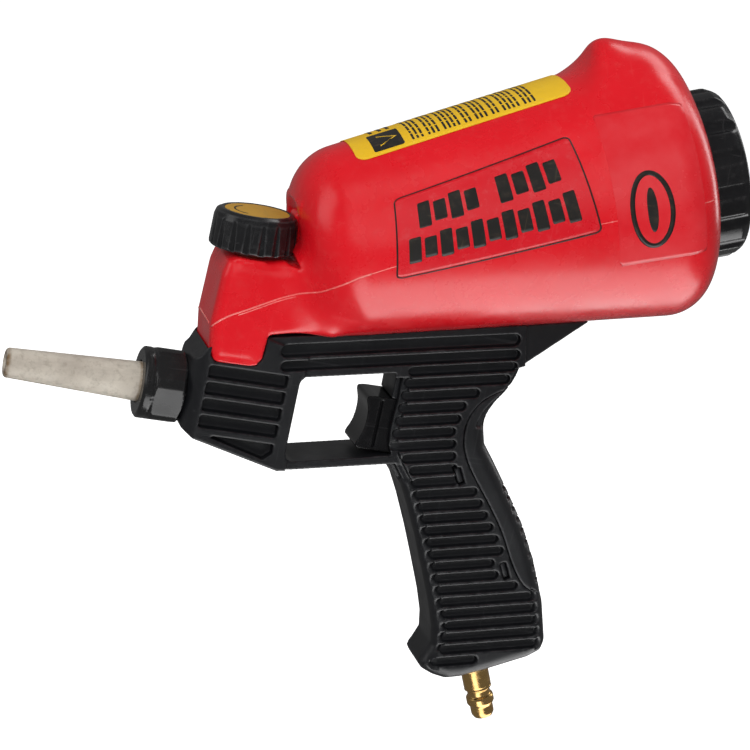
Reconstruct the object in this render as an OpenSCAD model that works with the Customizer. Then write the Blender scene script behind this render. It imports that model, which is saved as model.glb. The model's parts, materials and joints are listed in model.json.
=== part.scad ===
// Hand-held gravity-feed sandblaster gun.
// Origin: centre of the nozzle outlet. +X runs along the blast bore from the outlet towards the
// rear, +Z is up, and the gun's left side faces -Y. All lengths are in millimetres.

/* [Nozzle and nut] */
// Length of the ceramic nozzle in front of its flange
nozzle_len = 51; // [50:0.5:54]
// Outer radius of the nozzle at its outlet
nozzle_tip_r = 5.5; // [5:0.1:6]
// Outer radius of the nozzle where it enters the nut
nozzle_base_r = 7.4; // [7:0.1:7.6]
// Radius of the bore that the media leaves through
nozzle_bore_r = 3; // [2:0.25:3.5]
// X of the nut's front face
nut_front = 49.5; // [49.3:0.1:49.8]
// Length of the nut along the bore
nut_len = 15.7; // [14:0.1:15.8]
// Width of the nut across its flats
nut_flats = 26.4; // [25:0.2:27]
// Radius of the round ring at the nut's front
nut_ring_r = 13.3; // [13:0.1:13.6]

/* [Handle] */
// Slope of the saddle, the guard and the grip slots against the bore, in degrees
saddle_tilt = 11.3; // [11:0.1:12]
// Lean of the grip and of the air inlet away from vertical, in degrees
grip_lean = 23.4; // [23:0.1:24]
// Width of the front block
block_w = 30; // [29:0.5:31]
// Width of the saddle and the grip
grip_w = 28; // [27:0.5:29]
// Width of the bar below the finger opening
guard_w = 24; // [22:0.5:25]
// Width of the tail that carries the rear of the tank
tail_w = 20; // [18:0.5:22]
// Depth of the slots moulded into both sides
slot_depth = 3; // [2:0.25:3.5]
// Distance between neighbouring grip slots
grip_pitch = 4.87; // [4.8:0.01:4.9]
// Number of grip slots on each side
grip_slots = 25; // [25:1:25]

/* [Trigger and valve] */
// Width of the trigger
trigger_w = 18; // [17:0.5:18]
// Outer radius of the air valve's body
valve_r = 8; // [7.5:0.1:8]

/* [Tank] */
// Slope of the tank's axis, in degrees
tank_tilt = 19.75; // [19.5:0.05:20]
// Half angle of the tank's taper, in degrees
tank_taper = 7.05; // [6.9:0.05:7.2]
// Distance from the taper's point to the tank's front face
tank_front = 269.5; // [268:0.5:271]
// Distance from the taper's point to the tank's rear face
tank_rear = 420; // [418:0.5:422]
// Rounding of the tank's front edge
front_round = 18; // [16:0.5:19]
// Rounding of the tank's rear edge
rear_round = 17; // [14:0.5:18]
// Wall thickness of the tank
tank_wall = 2.5; // [2:0.1:3]
// Outer radius of the filler mouth
mouth_r = 26; // [25:0.5:27]
// Outer radius of the filler cap
cap_r = 32; // [31:0.25:32.5]
// Length of the filler cap
cap_len = 15; // [14:0.5:16]
// Number of finger scallops round the cap
cap_scallops = 16; // [12:1:20]

/* [Flow knob] */
// Outer radius of the knob at its foot
knob_r = 16.2; // [15.8:0.1:16.5]
// Height of the knob
knob_h = 14; // [13:0.5:15]
// Height of the knob's underside above the bore
knob_z = 56; // [55.6:0.1:57]
// Forward lean of the knob's stem, in degrees
knob_lean = 3; // [2:0.5:4]
// Number of flutes round the knob
knob_flutes = 18; // [14:1:22]

/* [Hidden] */
$fn = 64;

// --- shared sizes -------------------------------------------------------------------------
run_gap = 0.05;          // radial clearance of a turning or sliding fit
seat_gap = 0.15;         // gap between the tank and the handle under it
nut_end = nut_front + nut_len;
flange_x = nozzle_len;   // front of the nozzle's flange
flange_len = 4;
flange_r = 9;
nose_x = 57;             // front of the mixing chamber's threaded nose
nose_r = 9.95;
chamber_r = 10;
chamber_x0 = 66;
chamber_x1 = 103;
mix_r = 6.5;
feed_r = 5.2;            // radius of the way down from the tank
jet_x = 92;              // shoulder between the mixing space and the air jet's thread
stem_x = 84.5;           // where the knob's axis meets the bore's height
spout_r = 7;             // tank outlet spout
spout_bottom = 10.8;
seat_z = 18.4;           // underside of the seat plate, along the stem
bushing_z = 51.4;        // top of the bushing's flange, along the stem
stem_r = 3;
pipe_r = 3;              // outer radius of the feed pipe
supply_r = 4.5;
feed_port_x = 158.9;     // where the feed pipe leaves the valve
jet_port_x = 98;         // where the feed pipe enters the mixing chamber
valve_x0 = 154;
valve_x1 = 180;
supply_port_x = 165.4;   // where the supply enters the valve
seat_x = 162.4;          // rear face of the valve's seat
poppet_len = 2;
mouth_len = 10;          // length of the filler mouth behind the tank's rear face
gasket_len = 2;
tail_screw_u = 203;      // place of the tail screw along the saddle
tail_screw_v = 3;        // underside of the tail screw's seat
apex = [-155, -33.3];    // point of the tank's taper, as [x, z]
inlet = [203.1, -97.05]; // where the air plug leaves the grip's base, as [x, z]
slot_h = 3.7;
strap_gap = 0.25;         // visible groove between the strap and the grip

// --- helpers ------------------------------------------------------------------------------
module side(w) { rotate([90, 0, 0]) linear_extrude(height = w, center = true) children(); }
module along_x(x) { translate([x, 0, 0]) rotate([0, 90, 0]) children(); }
module in_saddle() { rotate([0, -saddle_tilt, 0]) children(); }
module in_tank(s = 0) {
    translate([apex[0], 0, apex[1]]) rotate([0, 90 - tank_tilt, 0]) translate([0, 0, s]) children();
}
module on_stem(z = 0) {
    translate([stem_x, 0, 0]) rotate([0, -knob_lean, 0]) translate([0, 0, z]) children();
}
module on_inlet(z = 0) {
    translate([inlet[0], 0, inlet[1]]) rotate([0, -grip_lean, 0]) translate([0, 0, z]) children();
}
module tube(r_out, r_in, h) {
    difference() {
        cylinder(r = r_out, h = h);
        translate([0, 0, -1]) cylinder(r = r_in, h = h + 2);
    }
}
// Slot with round ends between two points on one level
module slot2d(x0, x1, z, h) {
    translate([x0 + h / 2, z - h / 2]) square([x1 - x0 - h, h]);
    for (x = [x0 + h / 2, x1 - h / 2]) translate([x, z]) circle(d = h);
}
// Slot with square ends and slightly rounded corners
slot_corner = 0.9;
module slot_box(x0, x1, z, h) {
    r = slot_corner;
    translate([x0 + r, z - h / 2]) square([x1 - x0 - 2 * r, h]);
    translate([x0, z - h / 2 + r]) square([x1 - x0, h - 2 * r]);
    for (x = [x0 + r, x1 - r], v = [z - h / 2 + r, z + h / 2 - r]) translate([x, v]) circle(r = r);
}
// The same recess on both sides of a body w wide
module both_sides(w, depth) {
    for (s = [-1, 1]) translate([0, s * (w / 2 - depth / 2 + 1), 0]) side(depth + 2) children();
}
// Upright prism with its two front corners rounded, used to round bodies in plan
module plan_round(x0, x1, half, r, z0, z1) {
    translate([x0 + r, -half, z0]) cube([x1 - x0 - r, 2 * half, z1 - z0]);
    translate([x0, r - half, z0]) cube([x1 - x0, 2 * half - 2 * r, z1 - z0]);
    for (s = [-1, 1]) translate([x0 + r, s * (half - r), z0]) cylinder(r = r, h = z1 - z0);
}
// Outline with its points moved by d towards the line from a to b
function to_line(p, d, a, b) = [for (q = p)
    let (t = max(0.03, min(0.97, (q - a) * (b - a) / ((b - a) * (b - a)))), v = a + t * (b - a) - q)
    q + d * v / norm(v)];
// The same closed outline moved inwards by d; its points run anticlockwise
function inset(p, d) = [for (i = [0 : len(p) - 1])
    let (n = len(p), t = p[(i + 1) % n] - p[(i + n - 1) % n]) p[i] + d * [-t[1], t[0]] / norm(t)];
// Smooth closed outline through a few control points (Catmull-Rom)
function blend(a, b, c, d, t) = 0.5 * (2 * b + (c - a) * t + (2 * a - 5 * b + 4 * c - d) * t * t
    + (3 * b - a - 3 * c + d) * t * t * t);
function smooth(p, n = 4) = [for (i = [0 : len(p) - 1], k = [0 : n - 1])
    blend(p[(i + len(p) - 1) % len(p)], p[i], p[(i + 1) % len(p)], p[(i + 2) % len(p)], k / n)];
// --- nozzle group -------------------------------------------------------------------------
module nozzle() {
    color("seashell") rotate([0, 90, 0]) rotate_extrude() polygon([
        [nozzle_bore_r, 0], [nozzle_tip_r - 0.6, 0], [nozzle_tip_r, 0.8],
        [nozzle_base_r, flange_x], [flange_r, flange_x], [flange_r, flange_x + flange_len],
        [mix_r - 1, flange_x + flange_len], [nozzle_bore_r, flange_x - 16]
    ]);
}
module nozzle_seal() {
    color("dimgray") along_x(flange_x + flange_len) tube(flange_r, mix_r, nose_x - flange_x - flange_len);
}
module nozzle_nut() {
    corner_r = 14.4;
    ring_len = 3.4;
    groove_len = 0.8;
    hex_turn = 13.4;
    hex_x = nut_front + ring_len + groove_len;
    color("dimgray") difference() {
        union() {
            rotate([0, 90, 0]) rotate_extrude() polygon([
                [0, nut_front], [nut_ring_r - 1.2, nut_front], [nut_ring_r, nut_front + 0.8],
                [nut_ring_r, nut_front + ring_len], [0, nut_front + ring_len]
            ]);
            along_x(nut_front) cylinder(r = nut_ring_r - 0.9, h = nut_len - 1);
            intersection() {
                along_x(hex_x) rotate([0, 0, hex_turn])
                    cylinder(r = nut_flats / 2 / cos(30), h = nut_end - hex_x, $fn = 6);
                rotate([0, 90, 0]) rotate_extrude() polygon([
                    [0, hex_x], [corner_r - 0.6, hex_x], [corner_r, hex_x + 0.6],
                    [corner_r, nut_end - 1.2], [corner_r - 1.6, nut_end], [0, nut_end]
                ]);
            }
        }
        along_x(nut_front - 1) cylinder(r = nozzle_base_r + 0.5, h = 10);
        along_x(flange_x - 0.1) cylinder(r = nose_r + run_gap, h = nut_len);
    }
}
module mixing_chamber() {
    color("silver") difference() {
        union() {
            along_x(nose_x) cylinder(r = nose_r, h = chamber_x0 - nose_x + 1);
            along_x(chamber_x0) cylinder(r = chamber_r, h = chamber_x1 - chamber_x0);
            on_stem(0) cylinder(r = spout_r + 2.4, h = 14.2);
            translate([jet_port_x, 0, 0]) cylinder(r = pipe_r + 1.4, h = 13);
        }
        along_x(nose_x - 1) cylinder(r = mix_r, h = jet_x - nose_x + 1);
        along_x(jet_x - 1) cylinder(r = 4, h = 10);
        on_stem(0) cylinder(r = feed_r, h = 20);
        on_stem(spout_bottom - 0.3) cylinder(r = spout_r + 0.2, h = 20);
        translate([jet_port_x, 0, 0]) cylinder(r = 2, h = 20);
        translate([jet_port_x, 0, 9]) cylinder(r = pipe_r, h = 20);
    }
}
module air_jet() {
    color("goldenrod") along_x(78) rotate_extrude() polygon([
        [1.25, 0], [1.9, 0], [3.2, 6], [3.2, 12], [4, 14], [4, 19], [2, 19], [2, 13], [1.25, 9]
    ]);
}
module spout_seal() {
    color("dimgray") on_stem(12.8) rotate_extrude() translate([spout_r - 0.55, 0]) circle(r = 0.7, $fn = 24);
}

// --- tank ---------------------------------------------------------------------------------
// Body of revolution; grow moves every face outwards
module barrel(grow = 0) {
    t = tank_taper;
    rf = front_round + grow;
    rr = rear_round + grow;
    s0 = tank_front - grow;
    s1 = tank_rear + grow;
    edge = grow / cos(t);
    cf = [(s0 + rf) * tan(t) + edge - rf / cos(t), s0 + rf];
    cr = [(s1 - rr) * tan(t) + edge - rr / cos(t), s1 - rr];
    in_tank() rotate_extrude($fn = 96) polygon(concat(
        [[0, s0]],
        [for (a = [-90 : 12 : -t]) cf + rf * [cos(a), sin(a)]],
        [for (a = [-t : 97 / 8 : 90]) cr + rr * [cos(a), sin(a)]],
        [[0, s1]]
    ));
}
// Front pillar that carries the knob and leads the media down
neck_side = [
    [73, 15.2], [88, 15.8], [90.2, 18.6], [90.8, 27.8], [98, 29.5], [112, 32.8], [112, 54.4],
    [74, 54.4], [70.8, 52.4], [69.6, 47.5], [69, 28], [70.4, 18]
];
neck_half = 16.5;
neck_x = 69;
neck_floor = 18.6;
neck_ceiling = 51.8;
seat_r = 5.8;            // radius of the seat plate
bushing_r = 6;
module neck(grow = 0) {
    intersection() {
        side(2 * (neck_half + grow)) polygon(grow == 0 ? neck_side : inset(neck_side, -grow));
        plan_round(neck_x - grow, 120, neck_half + grow, 7 + grow, 0, 70);
    }
}
// Raised ridge on top of the rear
module hump() {
    hull() {
        for (p = [[199.5, 146.8, 6.5], [213.5, 146.6, 6]], s = [-1, 1])
            translate([p[0], s * p[2], p[1]]) sphere(r = 8.5, $fn = 24);
        for (p = [[199, 131, 14], [223.5, 129, 22]], s = [-1, 1])
            translate([p[0], s * p[2], p[1]]) sphere(r = 8, $fn = 24);
    }
}
// Room for the knob in the tank's front face
module knob_pocket(grow = 0) {
    r = knob_r + 0.8 + grow;
    top = knob_z + knob_h + 0.6 + grow;
    on_stem() rotate_extrude() polygon([
        [0, knob_z - 0.8 - grow], [r, knob_z - 0.8 - grow], [r, top], [r - 3.5, top + 5.4], [0, top + 5.4]
    ]);
}
module tank() {
    color("red") difference() {
        union() {
            difference() {
                union() {
                    barrel();
                    neck();
                    hump();
                    in_tank(tank_rear - 2) cylinder(r = mouth_r, h = mouth_len + 2);
                    on_stem(spout_bottom) cylinder(r = spout_r, h = 12);
                }
                difference() {
                    barrel(-tank_wall);
                    knob_pocket(tank_wall);
                }
                intersection() {
                    neck(-tank_wall);
                    translate([60, -20, neck_floor]) cube([60, 40, neck_ceiling - neck_floor]);
                }
            }
            in_saddle() translate([tail_screw_u, 0, 7.8]) cylinder(r = 4.5, h = 8);
        }
        knob_pocket();
        in_tank(tank_rear - 10) cylinder(r = mouth_r - 3, h = 40);
        on_stem(spout_bottom - 1) cylinder(r = feed_r, h = 12);
        on_stem(seat_z) cylinder(r = seat_r + run_gap, h = 4);
        on_stem(bushing_z - 5) cylinder(r = bushing_r, h = 10);
        on_stem(12.8) rotate_extrude() translate([spout_r - 0.5, 0]) circle(r = 0.75, $fn = 24);
        in_saddle() translate([tail_screw_u, 0, 0]) cylinder(r = 1.6, h = 14.5);
    }
}
module filler_cap() {
    color("black") in_tank(tank_rear + 1) difference() {
        rotate_extrude($fn = 96) polygon([
            [0, 0], [cap_r - 0.8, 0], [cap_r, 1], [cap_r, cap_len - 4], [cap_r - 1.5, cap_len - 1],
            [cap_r - 4, cap_len], [0, cap_len]
        ]);
        for (i = [0 : cap_scallops - 1]) rotate([0, 0, i * 360 / cap_scallops])
            translate([cap_r + 2.6, 0, -1]) cylinder(r = 4, h = cap_len + 2, $fn = 32);
        translate([0, 0, -1]) cylinder(r = mouth_r + run_gap, h = mouth_len + gasket_len + run_gap);
        translate([0, 0, cap_len - 1]) cylinder(r = cap_r - 9, h = 5);
    }
}
module cap_gasket() {
    color("dimgray") in_tank(tank_rear + mouth_len + run_gap) tube(mouth_r - 0.2, mouth_r - 4, gasket_len);
}

// --- flow control -------------------------------------------------------------------------
pivot_r = 1.5;           // thin lower end of the stem
hole_offset = 3.35;
hole_r = 1.7;
screw_r = 1.25;
module stem_bushing() {
    color("goldenrod") on_stem(bushing_z) difference() {
        union() {
            cylinder(r = bushing_r, h = 3.8);
            translate([0, 0, -2]) cylinder(r = bushing_r + 2, h = 2);
        }
        translate([0, 0, -3]) cylinder(r = stem_r + run_gap, h = 9);
        translate([0, 0, 2.2]) cylinder(r = stem_r + 1.5, h = 3);
    }
}
module stem_seal() {
    color("dimgray") on_stem(bushing_z + 3) rotate_extrude()
        translate([stem_r + 0.75, 0]) circle(r = 0.65, $fn = 24);
}
module valve_stem() {
    color("silver") on_stem() difference() {
        union() {
            translate([0, 0, seat_z + 0.8]) cylinder(r = pivot_r, h = 8);
            translate([0, 0, seat_z + 8]) cylinder(r = stem_r, h = knob_z + knob_h - 4.5 - seat_z - 8);
        }
        translate([0, 0, knob_z + 2.3]) cylinder(r = screw_r, h = 8);
    }
}
// The disc's hole stands opposite the plate's, so the way is shut at rest
module metering_disc() {
    color("goldenrod") on_stem(seat_z + 1.8) difference() {
        cylinder(r = 5.4, h = 2);
        translate([-hole_offset, 0, -1]) cylinder(r = hole_r, h = 4);
        translate([0, 0, -1]) cylinder(r = pivot_r, h = 4);
    }
}
module seat_plate() {
    color("silver") on_stem(seat_z) difference() {
        cylinder(r = seat_r, h = 1.7);
        translate([hole_offset, 0, -1]) cylinder(r = hole_r, h = 4);
        translate([0, 0, 0.8]) cylinder(r = pivot_r + run_gap, h = 4);
    }
}
module flow_knob() {
    color("black") on_stem(knob_z) difference() {
        rotate_extrude($fn = 96) polygon([
            [0, 0], [knob_r - 0.8, 0], [knob_r, 0.8], [knob_r - 0.6, knob_h - 3],
            [knob_r - 1.3, knob_h - 0.9], [knob_r - 3, knob_h], [0, knob_h]
        ]);
        for (i = [0 : knob_flutes - 1]) rotate([0, 0, (i + 0.5) * 360 / knob_flutes])
            translate([knob_r + 0.7, 0, -1]) cylinder(r = 1.5, h = knob_h + 2, $fn = 24);
        translate([0, 0, knob_h - 0.8]) cylinder(r = 12, h = 2);
        translate([0, 0, -1]) cylinder(r = stem_r, h = knob_h - 3.5);
        translate([0, 0, 5]) cylinder(r = 1.6, h = 10);
        translate([0, 0, knob_h - 3.6]) cylinder(r = 3.2, h = 5);
    }
}
module knob_screw() {
    color("silver") on_stem(knob_z + knob_h - 3.6) difference() {
        union() {
            cylinder(r = 3, h = 2.2);
            translate([0, 0, -8]) cylinder(r = screw_r, h = 9);
        }
        for (a = [0, 90]) rotate([0, 0, a]) translate([-2, -0.4, 1.2]) cube([4, 0.8, 2]);
    }
}
module knob_disc() {
    color("gold") on_stem(knob_z + knob_h - 0.8) cylinder(r = 11.9, h = 0.6);
}

// --- handle -------------------------------------------------------------------------------
block_side = [
    [65.2, -9.5], [66, -12], [70.4, -14.8], [104, -22.8], [107.3, -22.3], [107.3, 22], [92, 26], [84, 28],
    [70, 20], [68, 16], [66.2, 14.6], [65.2, 12]
];
grip_side = [
    [150.4, -19], [153.8, -23], [158.2, -31], [164.2, -43.5], [169.7, -56], [175, -68.5], [178.2, -77.5],
    [179.3, -84], [177.4, -89], [175.9, -92], [177.8, -94.6], [182.6, -96.6], [188, -97.6], [194, -96.2],
    [203, -92.4],
    [219, -85], [223.8, -81.4], [224.6, -77], [220, -61.5], [212.6, -45.2], [205, -32], [196, -19.5],
    [188, -9], [182.8, -2.5], [181.2, 3], [181.2, 8.5], [183.8, 14.6], [187.8, 21.5], [190, 29],
    [188, 34], [160, 30], [145, 24], [143.4, 10], [143.6, -8]
];
grip_spine = [[166, 12], [197, -82]];
// Region behind the groove where the strap clips on
strap_edge = smooth([
    [191.2, 23.5], [183.4, 19.6], [176.5, 14], [173, 7], [172.7, 0], [174.6, -6.5], [179, -13.6],
    [188.6, -25.4], [196, -35.4], [203, -47.4], [209, -54.8], [216, -58], [224, -60.4],
    [240, -60], [230, -20], [205, 10], [200, 24]
], 4);
// Rounding of the grip's front and rear: half width and inset of each layer
grip_layers = [[9, 0], [11.8, 1.8], [grip_w / 2 - 0.15, 4.6]];
module grip_body() {
    for (k = grip_layers) side(2 * k[0])
        polygon(smooth(to_line(grip_side, k[1], grip_spine[0], grip_spine[1]), 3));
}

function slot_v(i) = -7.4 - grip_pitch * i;
// Left and right ends of the grip slots along the saddle's slope
function slot_left(i) = lookup(i, [
    [0, 147.4], [6, 141.2], [7, 145.7], [8, 148.6], [12, 153.9], [20, 162.8], [21, 163.9], [23, 162],
    [24, 159]
]);
function slot_right(i) = lookup(i, [
    [0, 189.5], [1, 186.8], [2, 175.1], [3, 170.1], [5, 166.2], [7, 166.6], [9, 167.7], [10, 175.3],
    [15, 186.3], [16, 182.8], [17, 184.6], [18, 192.4], [19, 199], [23, 201.2], [24, 177]
]);
module saddle_bar() {
    in_saddle() {
        side(grip_w) polygon([[93, -9.5], [184, -9.5], [192.6, -7.5], [192.6, 8.4], [93, 8.2]]);
        side(tail_w) polygon([[190, -9], [194, -7.5], [218, 7.4], [217, 8.6], [190, 8.4]]);
    }
}
module guard_bar() {
    in_saddle() side(guard_w) polygon([
        [98, -43.2], [104, -43.5], [146, -43.5], [148, -38], [142, -40.2], [107, -40.2], [98, -36]
    ]);
}
module finger_opening() {
    side(60) polygon([
        [106, 11.2], [106.4, 12.7], [107.5, 13.8], [109, 14.1], [141.5, 20.6], [141.5, -11.2], [140, -13.2],
        [109.8, -19.3], [108, -18.7], [106.6, -17.4], [106, -15.4]
    ]);
}
module snap_window() { translate([-1.3, -3.7]) square([2.6, 7.4]); }
window_spots = [[174.6, -15.6], [200.8, -50.4]];
// Sprung arms of the strap that reach into the windows and hook there
module snap_arms(gap = 0) {
    for (p = window_spots, s = [-1, 1]) translate([p[0], 0, p[1]]) rotate([0, -grip_lean - 4, 0]) {
        translate([-1 - gap, s * 10 - 1.5 - gap, -3 - gap]) cube([11, 3 + 2 * gap, 6 + 2 * gap]);
        translate([-1 - gap, s * 11.3 - 1.2, -3 - gap]) cube([2 + gap, 2.4, 6 + 2 * gap]);
    }
}
module handle_housing() {
    color("#222222") difference() {
        union() {
            intersection() {
                side(block_w) polygon(block_side);
                plan_round(65.2, 110, block_w / 2, 7, -30, 40);
            }
            saddle_bar();
            guard_bar();
            difference() {
                grip_body();
                side(60) polygon(strap_edge);
            }
        }
        finger_opening();
        barrel(seat_gap);
        neck(seat_gap);
        // block slots, parallel to the bore
        both_sides(block_w, slot_depth + 1) {
            for (i = [0 : 3]) slot_box(71.6, 101.4, 11.2 - 6.35 * i, 4.9);
            polygon([[74, -12.9], [101, -12.9], [101, -16.6], [98, -19.2]]);
        }
        // saddle slots
        in_saddle() both_sides(grip_w, slot_depth) {
            slot2d(99, 190.4, 2.9, 4.8);
            slot2d(99, 190.4, -2.8, 4.0);
        }
        // grip slots
        in_saddle() both_sides(grip_w, slot_depth)
            for (i = [0 : grip_slots - 1]) slot2d(slot_left(i), slot_right(i), slot_v(i), slot_h);
        for (p = window_spots) translate([p[0], 0, p[1]]) rotate([0, -grip_lean - 4, 0])
            side(60) snap_window();
        // seat of the mixing chamber and its two ports
        along_x(chamber_x0 - 5) cylinder(r = chamber_r + 0.1, h = chamber_x1 - chamber_x0 + 5.1);
        on_stem() cylinder(r = spout_r + 2.5, h = 30);
        translate([jet_port_x, 0, 0]) cylinder(r = pipe_r + 1.5, h = 14);
        // pipe ways
        in_saddle() translate([jet_port_x - 3, -pipe_room, -feed_drop - pipe_room])
            cube([feed_port_x - jet_port_x + 13, 2 * pipe_room, 2 * pipe_room]);
        translate([jet_port_x, 0, 5]) cylinder(r = pipe_r + 0.2, h = 14);
        translate([feed_port_x, 0, 5]) cylinder(r = pipe_r + 0.2, h = 26);
        on_inlet(0) cylinder(r = supply_r + 0.2, h = 102);
        // trigger pocket and valve pocket
        translate([140, -trigger_w / 2 - 0.3, -12]) cube([valve_x0 - 140, trigger_w + 0.6, 21.6]);
        along_x(valve_x0 - 1) cylinder(r = valve_r + 0.1, h = 40);
        snap_arms(0.2);
        // moulded-in inlet adapter and the way out of the grip's base
        on_inlet(adapter_z) cylinder(r = adapter_r + 0.1, h = adapter_len + 0.1);
        on_inlet(-6) cylinder(r = 5.9, h = 10);
        // tail screw
        in_saddle() translate([tail_screw_u, 0, -8]) cylinder(r = 1.9, h = 30);
        in_saddle() translate([tail_screw_u, 0, -8]) cylinder(r = 3.6, h = 8 + tail_screw_v);
    }
}
module back_strap() {
    color("#181818") difference() {
        union() {
            intersection() {
                grip_body();
                translate([strap_gap, 0, 0]) side(60) polygon(strap_edge);
            }
            snap_arms();
        }
        along_x(valve_x0 - 1) cylinder(r = valve_r + 0.2, h = valve_x1 - valve_x0 + 1.4);
        on_inlet(0) cylinder(r = supply_r + 0.2, h = 102);
        for (i = [0 : 8]) let (f = i / 8)
            translate([194.6 + 21.2 * f, 0, -18 - 34.4 * f + 1.4 * sin(180 * f)])
                rotate([0, -grip_lean - 8, 0]) translate([-1.6, -20, -0.5]) cube([6, 40, 1]);
    }
}
feed_drop = 0.8;         // the feed pipe runs this far below the saddle's middle
pipe_room = 4;           // half the width of the channel that the feed pipe lies in
function corner_z(x) = x * tan(saddle_tilt) - feed_drop;
module feed_legs(r_up, r_across, z0, z1) {
    translate([jet_port_x, 0, z0]) cylinder(r = r_up, h = corner_z(jet_port_x) - z0);
    translate([feed_port_x, 0, z1]) cylinder(r = r_up, h = corner_z(feed_port_x) - z1);
    translate([jet_port_x, 0, corner_z(jet_port_x)]) rotate([0, 90 - saddle_tilt, 0])
        cylinder(r = r_across, h = (feed_port_x - jet_port_x) / cos(saddle_tilt));
}
module feed_pipe() {
    color("silver") difference() {
        union() {
            feed_legs(pipe_r, pipe_r - 0.2, 9, 7.4);
            for (x = [jet_port_x, feed_port_x]) translate([x, 0, corner_z(x)]) rotate([90, 0, 0])
                cylinder(r = pipe_r + 0.7, h = 2 * pipe_r + 1.4, center = true);
        }
        feed_legs(2, 1.8, 8, 6.4);
    }
}
module supply_pipe() {
    color("silver") difference() {
        on_inlet(adapter_z + adapter_len) cylinder(r = supply_r, h = 80);
        on_inlet(adapter_z) cylinder(r = supply_r - 1.2, h = 110);
        along_x(valve_x0) cylinder(r = valve_r, h = 40);
    }
}
adapter_z = 3;
adapter_len = 17;
adapter_r = 8;
module inlet_adapter() {
    color("goldenrod") on_inlet(adapter_z) difference() {
        cylinder(r = adapter_r, h = adapter_len);
        for (z = [5, 11]) translate([0, 0, z]) tube(adapter_r + 1, adapter_r - 0.8, 1.6);
        translate([0, 0, -1]) cylinder(r = 6.35, h = 12.5);
        translate([0, 0, 11]) cylinder(r = supply_r - 1.2, h = 12);
    }
}
module air_plug() {
    color("goldenrod") on_inlet() difference() {
        rotate_extrude() polygon([
            [0, 12.5], [6.3, 12.5], [6.3, 3.5], [5.4, 2.5], [5.4, -6.4], [4.5, -7.2], [4.5, -9.4],
            [5.4, -10.2], [5.4, -12.8], [4.5, -14], [4.5, -17.4], [3.8, -18.8], [0, -18.8]
        ]);
        translate([0, 0, -20]) cylinder(r = 3, h = 40);
    }
}
module tail_screw() {
    color("silver") in_saddle() translate([tail_screw_u, 0, tail_screw_v - 2]) difference() {
        union() {
            cylinder(r = 1.55, h = 13);
            cylinder(r = 3.4, h = 2);
        }
        for (a = [0, 90]) rotate([0, 0, a]) translate([-2, -0.45, -1]) cube([4, 0.9, 2]);
    }
}

// --- trigger and air valve ----------------------------------------------------------------
trigger_side = smooth([
    [133.2, -9.8], [134.9, -5.5], [135.6, -1], [135.4, 3.5], [134.2, 8.2], [136.4, 9.2], [140, 9.3],
    [146.5, 9.2], [147.8, 8], [147.9, 0], [147.8, -10.4], [146.5, -11.4], [139, -11.5], [134.4, -11.3]
], 4);
module trigger() {
    color("#101010") difference() {
        side(trigger_w) polygon(trigger_side);
        both_sides(trigger_w, 1.5) polygon([[139.6, 8.2], [140.6, 8.2], [140.6, -10.4], [139.6, -10.4]]);
    }
}
pin_r = 2;
poppet_r = 4.6;
poppet_bore = 5.6;
poppet_x = seat_x + 2.05; // front of the poppet behind its seal
plug_x = valve_x1 - 3;
module valve_body() {
    color("silver") difference() {
        along_x(valve_x0) cylinder(r = valve_r, h = valve_x1 - valve_x0);
        along_x(valve_x0 - 1) cylinder(r = pin_r + run_gap, h = 20);
        along_x(valve_x0 + 0.8) cylinder(r = 3.3, h = 1.4);
        along_x(feed_port_x - 2.1) cylinder(r = 4.5, h = 4.2);
        along_x(feed_port_x) cylinder(r = 3.2, h = 10);
        along_x(seat_x) cylinder(r = poppet_bore, h = 30);
        translate([feed_port_x, 0, 0]) cylinder(r = 2, h = 20);
        translate([feed_port_x, 0, 7.4]) cylinder(r = pipe_r, h = 20);
        translate([supply_port_x, 0, -9]) cylinder(r = 2, h = 6);
    }
}
module valve_pin() {
    color("goldenrod") {
        along_x(147.95) cylinder(r = pin_r, h = seat_x + 3 - 147.95);
        along_x(poppet_x) cylinder(r = poppet_r, h = poppet_len);
    }
}
module pin_seal() {
    color("dimgray") along_x(valve_x0 + 1.5) rotate_extrude() translate([2.68, 0]) circle(r = 0.6, $fn = 24);
}
module poppet_seal() {
    color("dimgray") along_x(seat_x + 0.05) tube(poppet_r, pin_r, 2);
}
spring_turns = 4;
spring_seg = 20;
spring_sides = 8;
spring_wire = 0.4;
spring_coil = 3.4;
spring_x = poppet_x + poppet_len + spring_wire + 0.05;
spring_len = plug_x - spring_x - spring_wire - 0.05;
function wire_ring(k) = let (a = k * 360 / spring_seg, 
        x = spring_x + spring_len * k / (spring_turns * spring_seg))
    [for (j = [0 : spring_sides - 1]) let (b = j * 360 / spring_sides, r = spring_coil + spring_wire * cos(b))
        [x + spring_wire * sin(b), r * cos(a), r * sin(a)]];
module valve_spring() {
    n = spring_turns * spring_seg;
    m = spring_sides;
    points = [for (k = [0 : n]) each wire_ring(k)];
    walls = [for (k = [0 : n - 1], j = [0 : m - 1])
        [k * m + j, k * m + (j + 1) % m, (k + 1) * m + (j + 1) % m, (k + 1) * m + j]];
    color("silver") polyhedron(points, concat(walls,
        [[for (j = [m - 1 : -1 : 0]) j]], [[for (j = [0 : m - 1]) n * m + j]]), convexity = 8);
}
module valve_plug() {
    color("silver") along_x(plug_x) difference() {
        cylinder(r = poppet_bore - 0.05, h = valve_x1 - plug_x);
        translate([0, 0, 1.5]) cylinder(r = 2.5, h = 3, $fn = 6);
    }
}

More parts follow.
